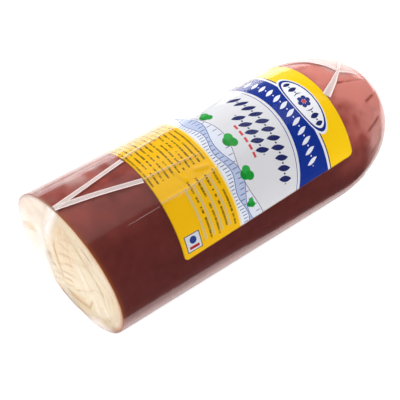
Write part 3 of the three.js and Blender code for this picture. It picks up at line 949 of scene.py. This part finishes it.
# painted light and shade kept with the mesh: paler where light is painted, darker in the tied creases
painted_light_and_shade = add(tree, "ShaderNodeAttribute", out=2, attribute_name="painted_light_and_shade")
for low, high, colour in ((0, 0.5, "9E4A41"), (0.5, 1, "D58378")):
    share = add(tree, "ShaderNodeMapRange", {0: painted_light_and_shade, 1: low, 2: high, 3: 0, 4: 1})
    skin = add(tree, MIX, {0: share, 6: skin, 7: linear(colour)}, **OF_COLOURS)
edge = add(tree, "ShaderNodeAttribute", out=2, attribute_name="edge")
skin = add(tree, MIX, {0: edge, 6: skin, 7: linear("9A5220")}, **OF_COLOURS)
settings = {"Base Color": skin, "Roughness": 0.45, "IOR": 1.5, "Specular IOR Level": 0.1}
surface = add(tree, "ShaderNodeBsdfPrincipled", settings)
add(tree, "ShaderNodeOutputMaterial", {0: surface})
dress(casing, casing_look, "casing", "casing")
print(casing_look.name, "has", len(tree.nodes), "nodes")

# %% [markdown]
# ### Coated paper, printed
# The print is a few flat inks on coated paper. It could be a picture, but drawn
# by the material it stays sharp at any distance. The UV map gives each point of
# the paper its place in millimetres: how far from the front edge, and how far
# round from the top. Fields of colour are then plain comparisons, laid one over
# the next from the front edge to the back. Inks are listed as they are planned,
# and printed one over the other at the end.

# %% Places on the paper and the list of inks
ARCH = 0.00397  # the fields' edges bow by this, in 1/mm
ARCH_TOP = -8  # where the arch is highest, mm round from the top
INKS = []  # (colour, mask), in the order of printing

label_look, label_tree = blank("coated_label_paper_printed")


def ink(code, mask):
    """Plans one ink, over what is printed before it, where the mask is 1."""
    INKS.append((linear(code), mask))


side_mm = UV_SIDE / MM
in_mm = {"Location": (0, -side_mm / 2, 0), "Scale": (side_mm, side_mm, 1)}
uv_place = add(label_tree, "ShaderNodeTexCoord", out=2)
at_mm = add(label_tree, "ShaderNodeMapping", {0: uv_place, **in_mm})
axes = add(label_tree, "ShaderNodeSeparateXYZ", {0: at_mm}).node
along, round_mm = axes.outputs[0], axes.outputs[1]
from_top = add(label_tree, MATH, {0: round_mm, 1: ARCH_TOP}, operation="SUBTRACT")
squared = add(label_tree, MATH, {0: from_top, 1: from_top}, operation="MULTIPLY")
bowed, half_bowed = [
    add(label_tree, MATH, {0: squared, 1: arch, 2: along}, operation="MULTIPLY_ADD")
    for arch in (ARCH, ARCH / 2)
]

# %% The fields of colour
FRONT_YELLOW = "F6BE05"
FIELDS = [
    (along, 34.9, "F7E08A"),
    (along, 35.7, "DEDEE2"),
    (bowed, 80.6, "0B3092"),
    (bowed, 81.0, "DEDEE2"),
    (bowed, 82.7, "0B3092"),
    (along, 95.8, "E6E6EC"),
    (along, 97.3, "1E2460"),
    (along, 98.0, "FFD004"),
]
for measure, edge, code in FIELDS:
    ink(code, add(label_tree, MATH, {0: measure, 1: edge}, operation="GREATER_THAN"))
print("label fields:", len(FIELDS) + 1)

# %% [markdown]
# ### Rows of small print, a landscape and rows of leaves
# Small print is too fine to read at arm's length, so its rows are dashes of
# uneven length. The drawing is a plain one of hills, furrows and bushes, and
# rows of leaves and an oval medallion adorn the white and the blue.
# Each shape is a product of simple tests: a box, a disc, a leaf.

# %% Shapes that a mask can have
def product(first, *rest):
    """1 where all of the masks are 1. A number among them thins the ink."""
    for mask in rest:
        first = add(label_tree, MATH, {0: first, 1: mask}, operation="MULTIPLY")
    return first


def between(measure, low, high):
    """1 where a measure lies between two values."""
    limits = {0: measure, 1: (low + high) / 2, 2: (high - low) / 2}
    return add(label_tree, MATH, limits, operation="COMPARE")


def box_of(low_along, high_along, low_round, high_round):
    """1 inside an upright box on the paper, in mm."""
    in_length = between(along, low_along, high_along)
    return product(in_length, between(round_mm, low_round, high_round))


def disc_of(place, centre, radius):
    """1 inside a disc."""
    ends = {0: place, 1: (*centre, 0)}
    gap = add(label_tree, "ShaderNodeVectorMath", ends, out=1, operation="DISTANCE")
    return add(label_tree, MATH, {0: gap, 1: radius}, operation="LESS_THAN")


def repeated(measure, pitch):
    """A measure that starts again every pitch, from minus half to plus half."""
    wrapped = add(label_tree, MATH, {0: measure, 1: pitch}, operation="FLOORED_MODULO")
    return add(label_tree, MATH, {0: wrapped, 1: pitch / 2}, operation="SUBTRACT")


# %% Rows of small print
# noise to a mm, and above what value it prints: first for words, then for letters
PRINT_NOISE = [(0.3, 0.4), (2.4, 0.44)]
ROW_SHIFT = 37.0  # moves each row to another stretch of the noise
PRINT_SHARE = 0.85  # small print covers the paper by this much


def print_rows(low_along, high_along, low_round, high_round, pitch, height):
    """Rows of dashes that run round the loaf, like small print."""
    row = add(label_tree, MATH, {0: along, 1: pitch}, operation="DIVIDE")
    row = add(label_tree, MATH, {0: row}, operation="FLOOR")
    row = add(label_tree, MATH, {0: row, 1: ROW_SHIFT}, operation="MULTIPLY")
    spot = add(label_tree, "ShaderNodeCombineXYZ", {0: row, 1: round_mm})
    rows = box_of(low_along, high_along, low_round, high_round)
    rows = product(rows, between(repeated(along, pitch), -height / 2, height / 2))
    for scale, limit in PRINT_NOISE:
        noise = add(label_tree, "ShaderNodeTexNoise", {0: spot, "Scale": scale, "Detail": 1})
        dashes = add(label_tree, MATH, {0: noise, 1: limit}, operation="GREATER_THAN")
        rows = product(rows, dashes)
    return rows


for block in ((1.0, 34.0, -14, 44, 3.1, 1.0), (13.0, 34.0, -51, -20, 5.0, 1.15)):
    ink("4A3A10", product(print_rows(*block), PRINT_SHARE))
bars = add(label_tree, MATH, {0: repeated(along, 5.0), 1: 1.1}, operation="GREATER_THAN")
ink("D9BC78", product(box_of(13.0, 32.0, -50, -22), bars))

# %% A plain patch in the lower corner
PATCH_LOW = (2.6, -52.2)  # mm from the front edge, mm round from the top
PATCH_HIGH = (11.6, -42.8)
PATCH_RIM = 0.45


def patch_box(front, back, low, high):
    """1 inside the patch, less a gap at its front, back, lower and upper side."""
    return box_of(PATCH_LOW[0] + front, PATCH_HIGH[0] - back, PATCH_LOW[1] + low, PATCH_HIGH[1] - high)


ink("3A4258", patch_box(0, 0, 0, 0))
ink("D4D7DE", patch_box(*(PATCH_RIM,) * 4))
ink("B8242C", patch_box(1.6, 1.6, 1.4, 6.4))
ink("2A3C86", disc_of(at_mm, ((PATCH_LOW[0] + PATCH_HIGH[0]) / 2, PATCH_HIGH[1] - 3.4), 2.0))

# %% Hills, furrows and bushes
HILLS = [  # middle, swell, length and shift of the outline, its fill and its line
    (48.0, 2.6, 8.5, 2.2, "DFE4F0", "8A6E86"),
    (44.0, 2.2, 5.6, 0.4, "BCC7E2", "4A61A4"),
    (40.0, 1.4, 3.9, 1.9, "E9ECF5", "4A61A4"),
]
BUSHES = [(50.2, 9.5, 1.0), (49.2, -11.5, 1.15), (47.2, -30.5, 1.1), (43.5, -45.0, 0.7)]
LEAFAGE = [(0.0, 0.0, 2.5, "128F30"), (1.6, 1.7, 2.1, "2EA848"), (2.0, -1.4, 2.2, "1C9A38")]

drawn_part = between(along, 36.2, 60)
for middle, swell, length, shift, fill, outline in HILLS:
    turn = add(label_tree, MATH, {0: round_mm, 1: 1 / length, 2: shift}, operation="MULTIPLY_ADD")
    wave = add(label_tree, MATH, {0: turn}, operation="SINE")
    reach = add(label_tree, MATH, {0: wave, 1: swell, 2: middle}, operation="MULTIPLY_ADD")
    gap = add(label_tree, MATH, {0: reach, 1: along}, operation="SUBTRACT")
    furrow = between(repeated(round_mm, length / 2.1), -0.22, 0.22)
    furrow = product(furrow, between(gap, 0.9, 3.6))
    for code, mask in ((fill, between(gap, 0, 60)), (outline, between(gap, 0, 0.4)), (outline, furrow)):
        ink(code, product(mask, drawn_part))

for bush_along, bush_round, size in BUSHES:
    for off_along, off_round, radius, green in LEAFAGE:
        centre = (bush_along + off_along * size, bush_round + off_round * size)
        ink(green, disc_of(at_mm, centre, radius * size))

# %% Rows of leaves
def leaf_row(measure, row_at, first_round, pitch, count, tall, wide, lean):
    """A row of leaning leaves, round the loaf, with a berry between each two."""
    start = first_round - pitch / 2
    up = add(label_tree, MATH, {0: measure, 1: row_at}, operation="SUBTRACT")
    shifted = add(label_tree, MATH, {0: round_mm, 1: start}, operation="SUBTRACT")
    leaning = add(label_tree, MATH, {0: up, 1: lean, 2: shifted}, operation="MULTIPLY_ADD")
    across = add(label_tree, MATH, {0: repeated(leaning, pitch)}, operation="ABSOLUTE")
    squared_up = add(label_tree, MATH, {0: up, 1: up}, operation="MULTIPLY")
    reach = {0: squared_up, 1: 2 * wide / tall**2, 2: across}
    reach = add(label_tree, MATH, reach, operation="MULTIPLY_ADD")
    beside = add(label_tree, "ShaderNodeCombineXYZ", {0: across, 1: up})
    berry = disc_of(beside, (pitch / 2, 0), 0.17 * wide)
    leaves = {0: between(reach, 0, wide / 2), 1: berry}
    leaves = add(label_tree, MATH, leaves, operation="MAXIMUM")
    return product(leaves, between(round_mm, start, start + pitch * count))


ink("232A66", leaf_row(bowed, 72.6, -43.0, 5.4, 11, 8.0, 3.2, 0.32))
ink("232A66", leaf_row(bowed, 63.6, -24.0, 5.4, 5, 7.8, 3.2, 0.32))
dashes = between(repeated(round_mm, 4.4), -1.5, 1.5)
dashes = product(dashes, between(bowed, 57.6, 59.0), between(round_mm, -27, -5))
ink("D2474C", dashes)
ink("E8EAF4", leaf_row(half_bowed, 89.2, -42.0, 5.6, 13, 6.8, 2.5, -0.3))

# %% An oval medallion over the band
MEDAL = (100.4, -12.0)
MEDAL_HALF = (7.2, 20.5)
PETALS = 6
PETAL_AT = 2.5  # mm from the flower's middle
PETAL_R = 1.35

as_disc = {
    "Location": (-MEDAL[0] / MEDAL_HALF[0], -MEDAL[1] / MEDAL_HALF[1], 0),
    "Scale": (1 / MEDAL_HALF[0], 1 / MEDAL_HALF[1], 0),
}
oval = add(label_tree, "ShaderNodeMapping", {0: at_mm, **as_disc})
for radius, code in ((1.0, "E8EAF2"), (0.93, "1A2F86"), (0.83, "F0F1F6")):
    ink(code, disc_of(oval, (0, 0), radius))
sprigs = leaf_row(along, MEDAL[0], MEDAL[1] - 14.4, 4.8, 7, 5.6, 2.9, 0)
ink("232A66", product(sprigs, disc_of(oval, (0, 0), 0.76)))
ink("F0F1F6", disc_of(at_mm, MEDAL, 5.6))
for petal in range(PETALS):
    turn = 2 * math.pi * petal / PETALS
    spot = (MEDAL[0] + PETAL_AT * math.cos(turn), MEDAL[1] + PETAL_AT * math.sin(turn))
    ink("1A2F86", disc_of(at_mm, spot, PETAL_R))
ink("D2474C", disc_of(at_mm, MEDAL, 1.2))

# %% Painted shade along the front and lower edges of the paper
EDGE_SHADE_WIDTH = 0.4  # mm wide
EDGE_SHADE_SHARE = 0.5
LOW_SKEW = (LABEL_LOW_DEG[1] - LABEL_LOW_DEG[0]) * arc / sheet_length
LOW_EDGE = LABEL_LOW_DEG[0] * arc / MM

skewed = {0: along, 1: -LOW_SKEW, 2: round_mm}
skewed = add(label_tree, MATH, skewed, operation="MULTIPLY_ADD")
# painted shade: a darker line along the paper's front and lower edges
for measure, edge in ((along, 0), (skewed, LOW_EDGE)):
    ink("8A5A08", product(between(measure, edge - 1, edge + EDGE_SHADE_WIDTH), EDGE_SHADE_SHARE))

# %% Print the inks on the paper
printed = linear(FRONT_YELLOW)
for colour, mask in INKS:
    printed = add(label_tree, MIX, {0: mask, 6: printed, 7: colour}, **OF_COLOURS)
settings = {"Base Color": printed, "Roughness": 0.5, "IOR": 1.5, "Specular IOR Level": 0.1}
surface = add(label_tree, "ShaderNodeBsdfPrincipled", settings)
add(label_tree, "ShaderNodeOutputMaterial", {0: surface})
dress(label, label_look, "label", "label")
print("label print:", len(INKS), "inks,", len(label_tree.nodes), "nodes")

# %% [markdown]
# ### Shrink film
# Clear film shows only by what it mirrors: nearly nothing face on, and a veil
# where it is seen at a slant. A glass shader would bend the view twice for
# nothing, so the film is a mix of see-through and gloss, by how steeply it is
# seen. The bag has two faces to the light, each with half of the mirror image.
# Where it is creased or welded it is milky, and in places the same milky white is
# painted light, from the haze and painted light kept with the mesh.

# %% Clear film, more or less milky
MIRROR_FACE_ON = 0.02
MIRROR_ASLANT = 0.5


def film_material(name, haze_and_painted_light, milk_code, roughness, forward=0.3):
    """Clear film. Its milky share, haze and in places painted light, is a number, or a function that
    adds its nodes.
    """
    made, tree = blank(name)
    facing = add(tree, "ShaderNodeLayerWeight", {0: 0.5}, out=1)
    slant = add(tree, MATH, {0: facing, 1: 5}, operation="POWER")
    mirror = {0: slant, 1: MIRROR_ASLANT, 2: MIRROR_FACE_ON}
    mirror = add(tree, MATH, mirror, operation="MULTIPLY_ADD")
    gloss = add(tree, "ShaderNodeBsdfGlossy", {"Color": (1, 1, 1, 1), "Roughness": roughness})
    clear = add(tree, "ShaderNodeBsdfTransparent", {0: (1, 1, 1, 1)})
    bag = add(tree, "ShaderNodeMixShader", {0: mirror, 1: clear, 2: gloss})
    matt = add(tree, "ShaderNodeBsdfDiffuse", {0: linear(milk_code)})
    through = add(tree, "ShaderNodeBsdfTranslucent", {0: linear(milk_code)})
    milk = add(tree, "ShaderNodeMixShader", {0: forward, 1: matt, 2: through})
    share = haze_and_painted_light(tree) if callable(haze_and_painted_light) else haze_and_painted_light
    both = add(tree, "ShaderNodeMixShader", {0: share, 1: bag, 2: milk})
    add(tree, "ShaderNodeOutputMaterial", {0: both})
    return made


def kept_haze(tree):
    """The haze and painted light that were kept with the bag's mesh."""
    return add(tree, "ShaderNodeAttribute", out=2, attribute_name="haze_and_painted_light")


def fold_haze(tree):
    """Milky at both rims of a fold and finely ribbed across its middle."""
    uv = add(tree, "ShaderNodeTexCoord", out=2)
    off = add(tree, "ShaderNodeSeparateXYZ", {0: uv}, out=1)
    off = add(tree, MATH, {0: off, 1: 0.5}, operation="SUBTRACT")
    off = add(tree, MATH, {0: off}, operation="ABSOLUTE")
    rim = add(tree, "ShaderNodeMapRange", {0: off, 1: 0.22, 2: 0.4, 3: 0.45, 4: 0.9})
    ribs = add(tree, "ShaderNodeTexWave", {0: uv, "Scale": 11, "Distortion": 1.5}, out=1)
    return add(tree, MATH, {0: ribs, 1: 0.12, 2: rim}, operation="MULTIPLY_ADD")


def weld_haze(tree):
    """Milky at the foot of the fin, and nearly clear at its free edge."""
    uv = add(tree, "ShaderNodeTexCoord", out=2)
    reach = add(tree, "ShaderNodeSeparateXYZ", {0: uv}, out=1)
    return add(tree, "ShaderNodeMapRange", {0: reach, 1: 0.0, 2: 0.35, 3: 0.22, 4: 0.03})


# %% The film of the bag, its folds and its weld
FOLDS = [fold_upper, fold_lower, pleat_near, pleat_far, pleat_tip, pleat_over]
RIBS = [rib_upper, rib_lower, rib_short]

clear_look = film_material("shrink_film_clear", kept_haze, "FCF5F0", 0.12, 0.2)
fold_look = film_material("shrink_film_folded", fold_haze, "FDEFEC", 0.15, 0.15)
# painted highlight: the ribs' pale yellow milk stands in for the light along each ridge, over real
# folded film
rib_milk_and_highlight_look = film_material("shrink_film_rib_and_highlight", 0.34, "FFEBA8", 0.15)
crease_look = film_material("shrink_film_creased", 0.13, "F8E8E5", 0.15)
weld_look = film_material("shrink_film_welded", weld_haze, "F6F4F2", 0.15)
for look, pieces in (
    (clear_look, [film]),
    (fold_look, FOLDS),
    (rib_milk_and_highlight_look, RIBS),
    (crease_look, [crease_thin]),
):
    for piece in pieces:
        dress(piece, look, "film", "film_bag")
dress(fin, weld_look, "film", "film_fin")
print("pieces of film:", len(FOLDS) + len(RIBS) + 3)

# %% [markdown]
# ## Floor, light and camera
# The loaf lies on a white table in a bright studio, lit mostly from behind and
# above, so that the film glows along the far side. Lamps that give shade and
# cards that only show in the gloss are kept apart, as a product photographer
# does with softboxes and reflectors. The near side of the loaf mirrors a strip
# of the table. That strip narrows towards the round end, which no area lamp can
# do, so it is a glowing mesh.

# %% Floor
FLOOR_GLOW = 0.8

bpy.ops.mesh.primitive_plane_add(size=6, location=(0, 0, -0.2 * MM))
floor = fresh("floor")
floor_look, tree = blank("white_table")
matt = add(tree, "ShaderNodeBsdfDiffuse", {0: (0.8, 0.8, 0.8, 1)})
glow = add(tree, "ShaderNodeEmission", {0: (1, 1, 1, 1), 1: FLOOR_GLOW})
both = add(tree, "ShaderNodeAddShader", {0: matt, 1: glow})
add(tree, "ShaderNodeOutputMaterial", {0: both})
floor.data.materials.append(floor_look)
floor.visible_glossy = False
print("floor side:", floor.dimensions.x, "m")

# %% The studio's even light
STUDIO_LIGHT = 0.62

world = bpy.data.worlds.new("studio")
bpy.context.scene.world = world
world.use_nodes = True
background = world.node_tree.nodes["Background"]
background.inputs[0].default_value = (1, 1, 1, 1)
background.inputs[1].default_value = STUDIO_LIGHT
world.cycles_visibility.glossy = False
print("world:", world.name)

# %% Softboxes and cards
R = LOAF_R
CENTRE = Vector(((CUT_X + TIP_X) / 2, 0, AXIS_Z))
BEHIND = 14 * Vector((0.61, 0.79, 0))  # radii from the loaf to the back lamps


def softbox(name, place, aim, size_r, radiance, in_gloss):
    """A lamp with a glowing face, which only shows in gloss, or only shades."""
    data = bpy.data.lights.new(name, "AREA")
    data.shape = "RECTANGLE"
    data.size, data.size_y = size_r[0] * R, size_r[1] * R
    data.energy = radiance * math.pi * data.size * data.size_y
    lamp = bpy.data.objects.new(name, data)
    bpy.context.collection.objects.link(lamp)
    lamp.location = place
    lamp.rotation_euler = (aim - place).to_track_quat("-Z", "Y").to_euler()
    lamp.visible_camera = False
    lamp.visible_diffuse = not in_gloss
    lamp.visible_glossy = in_gloss
    lamp.visible_transmission = False


# name, start, way from there to the lamp and to its aim in radii, size in radii,
# radiance, and whether it only shows in gloss
SOFTBOXES = [
    ("back_softbox", CENTRE, BEHIND + Vector((0, 0, 5)), (0, 0, 0), (22, 12), 2.5, False),
    ("back_glow", CENTRE, BEHIND + Vector((0, 0, 1.05)), (0, 0, 0), (22, 4.2), 2.3, True),
    ("top_softbox", CENTRE, (2, 1, 16), (0, 0, 0), (16, 18), 0.62, True),
    ("key_softbox", CENTRE, (4, 9, 15), (0, 0, 0), (10, 10), 3.2, False),
    ("fill_softbox", CENTRE, (9, -7, 8), (2.5, 0, 0), (8, 8), 1.65, False),
    ("left_softbox", CUT_CENTRE, (-10, -1, 7), (0, 0, 0), (7, 7), 0.9, False),
    ("bounce_card", CUT_CENTRE, (-2, 2, -0.2), (0, 0.6, -0.4), (1.6, 1.6), 1.6, False),
    ("low_bounce_card", CUT_CENTRE, (-1.6, 0.1, -0.68), (0, -0.1, -0.72), (2.2, 0.5), 2.7, False),
]
for name, start, to_lamp, to_aim, size_r, radiance, in_gloss in SOFTBOXES:
    place = start + R * Vector(to_lamp)
    softbox(name, place, start + R * Vector(to_aim), size_r, radiance, in_gloss)

# %% Bright parts of the table, which only the gloss sees
CARD_Z = -1 * MM  # just under the floor
# name, from where to where along x and along y, in radii from the cut, radiance
TABLE_CARDS = [
    ("table_under", (-0.1, 4.7), (-0.78, 0.9), 0.4),
    ("table_end", (4.7, 9), (-1.05, 0.9), 1.4),
    ("table_behind", (-0.1, 11.9), (0.9, 10.5), 1.8),
    ("table_left", (-6.1, -0.1), (-1.5, 5.5), 0.85),
]
for name, (low_x, high_x), (low_y, high_y), radiance in TABLE_CARDS:
    place = Vector((CUT_X + R * (low_x + high_x) / 2, R * (low_y + high_y) / 2, CARD_Z))
    softbox(name, place, place + Vector((0, 0, 1)), (high_x - low_x, high_y - low_y), radiance, True)

# %% The strip of table in front
# its two long edges, in radii: the inner one is straight, the outer one is bent
STRIP_INNER = -0.78
STRIP_OUTER = [(-0.1, -1.4), (1.8, -1.4), (2.3, -1.33), (2.8, -1.18), (3.4, -1.15), (4.7, -1.05)]

bpy.ops.mesh.primitive_grid_add(x_subdivisions=60, y_subdivisions=1, size=1)
near_card = fresh("table_near")
points = points_of(near_card)
strip_x, strip_y = zip(*STRIP_OUTER)
run_r = strip_x[0] + (strip_x[-1] - strip_x[0]) * (points[:, 0] + 0.5)
outer_r = np.interp(run_r, strip_x, strip_y)
points[:, 1] = np.where(points[:, 1] < 0, outer_r, STRIP_INNER) * R
points[:, 0] = CUT_X + run_r * R
points[:, 2] = CARD_Z
move_points(near_card, points)
card_look, tree = blank("bright_card")
glow = add(tree, "ShaderNodeEmission", {0: (1, 0.84, 0.82, 1), 1: 1.3})
add(tree, "ShaderNodeOutputMaterial", {0: glow})
near_card.data.materials.append(card_look)
near_card.visible_camera = False
near_card.visible_diffuse = False
near_card.visible_transmission = False
near_card.visible_shadow = False

# %% Camera
LENS_MM = 76.5
CAMERA_OFF = Vector((-2.643, -5.942, 7.920))  # radii from the middle of the cut
CAMERA_LOOK = Vector((0.4172, 0.5384, -0.7322))

camera_data = bpy.data.cameras.new("camera")
camera_data.lens = LENS_MM
camera_data.sensor_width = 36
camera_data.clip_start = 0.01
camera = bpy.data.objects.new("camera", camera_data)
bpy.context.collection.objects.link(camera)
camera.location = CUT_CENTRE + R * CAMERA_OFF
camera.rotation_euler = CAMERA_LOOK.to_track_quat("-Z", "Y").to_euler()
bpy.context.scene.camera = camera
bpy.context.scene.view_settings.view_transform = "Standard"
print("camera to cut:", round(R * CAMERA_OFF.length, 3), "m")
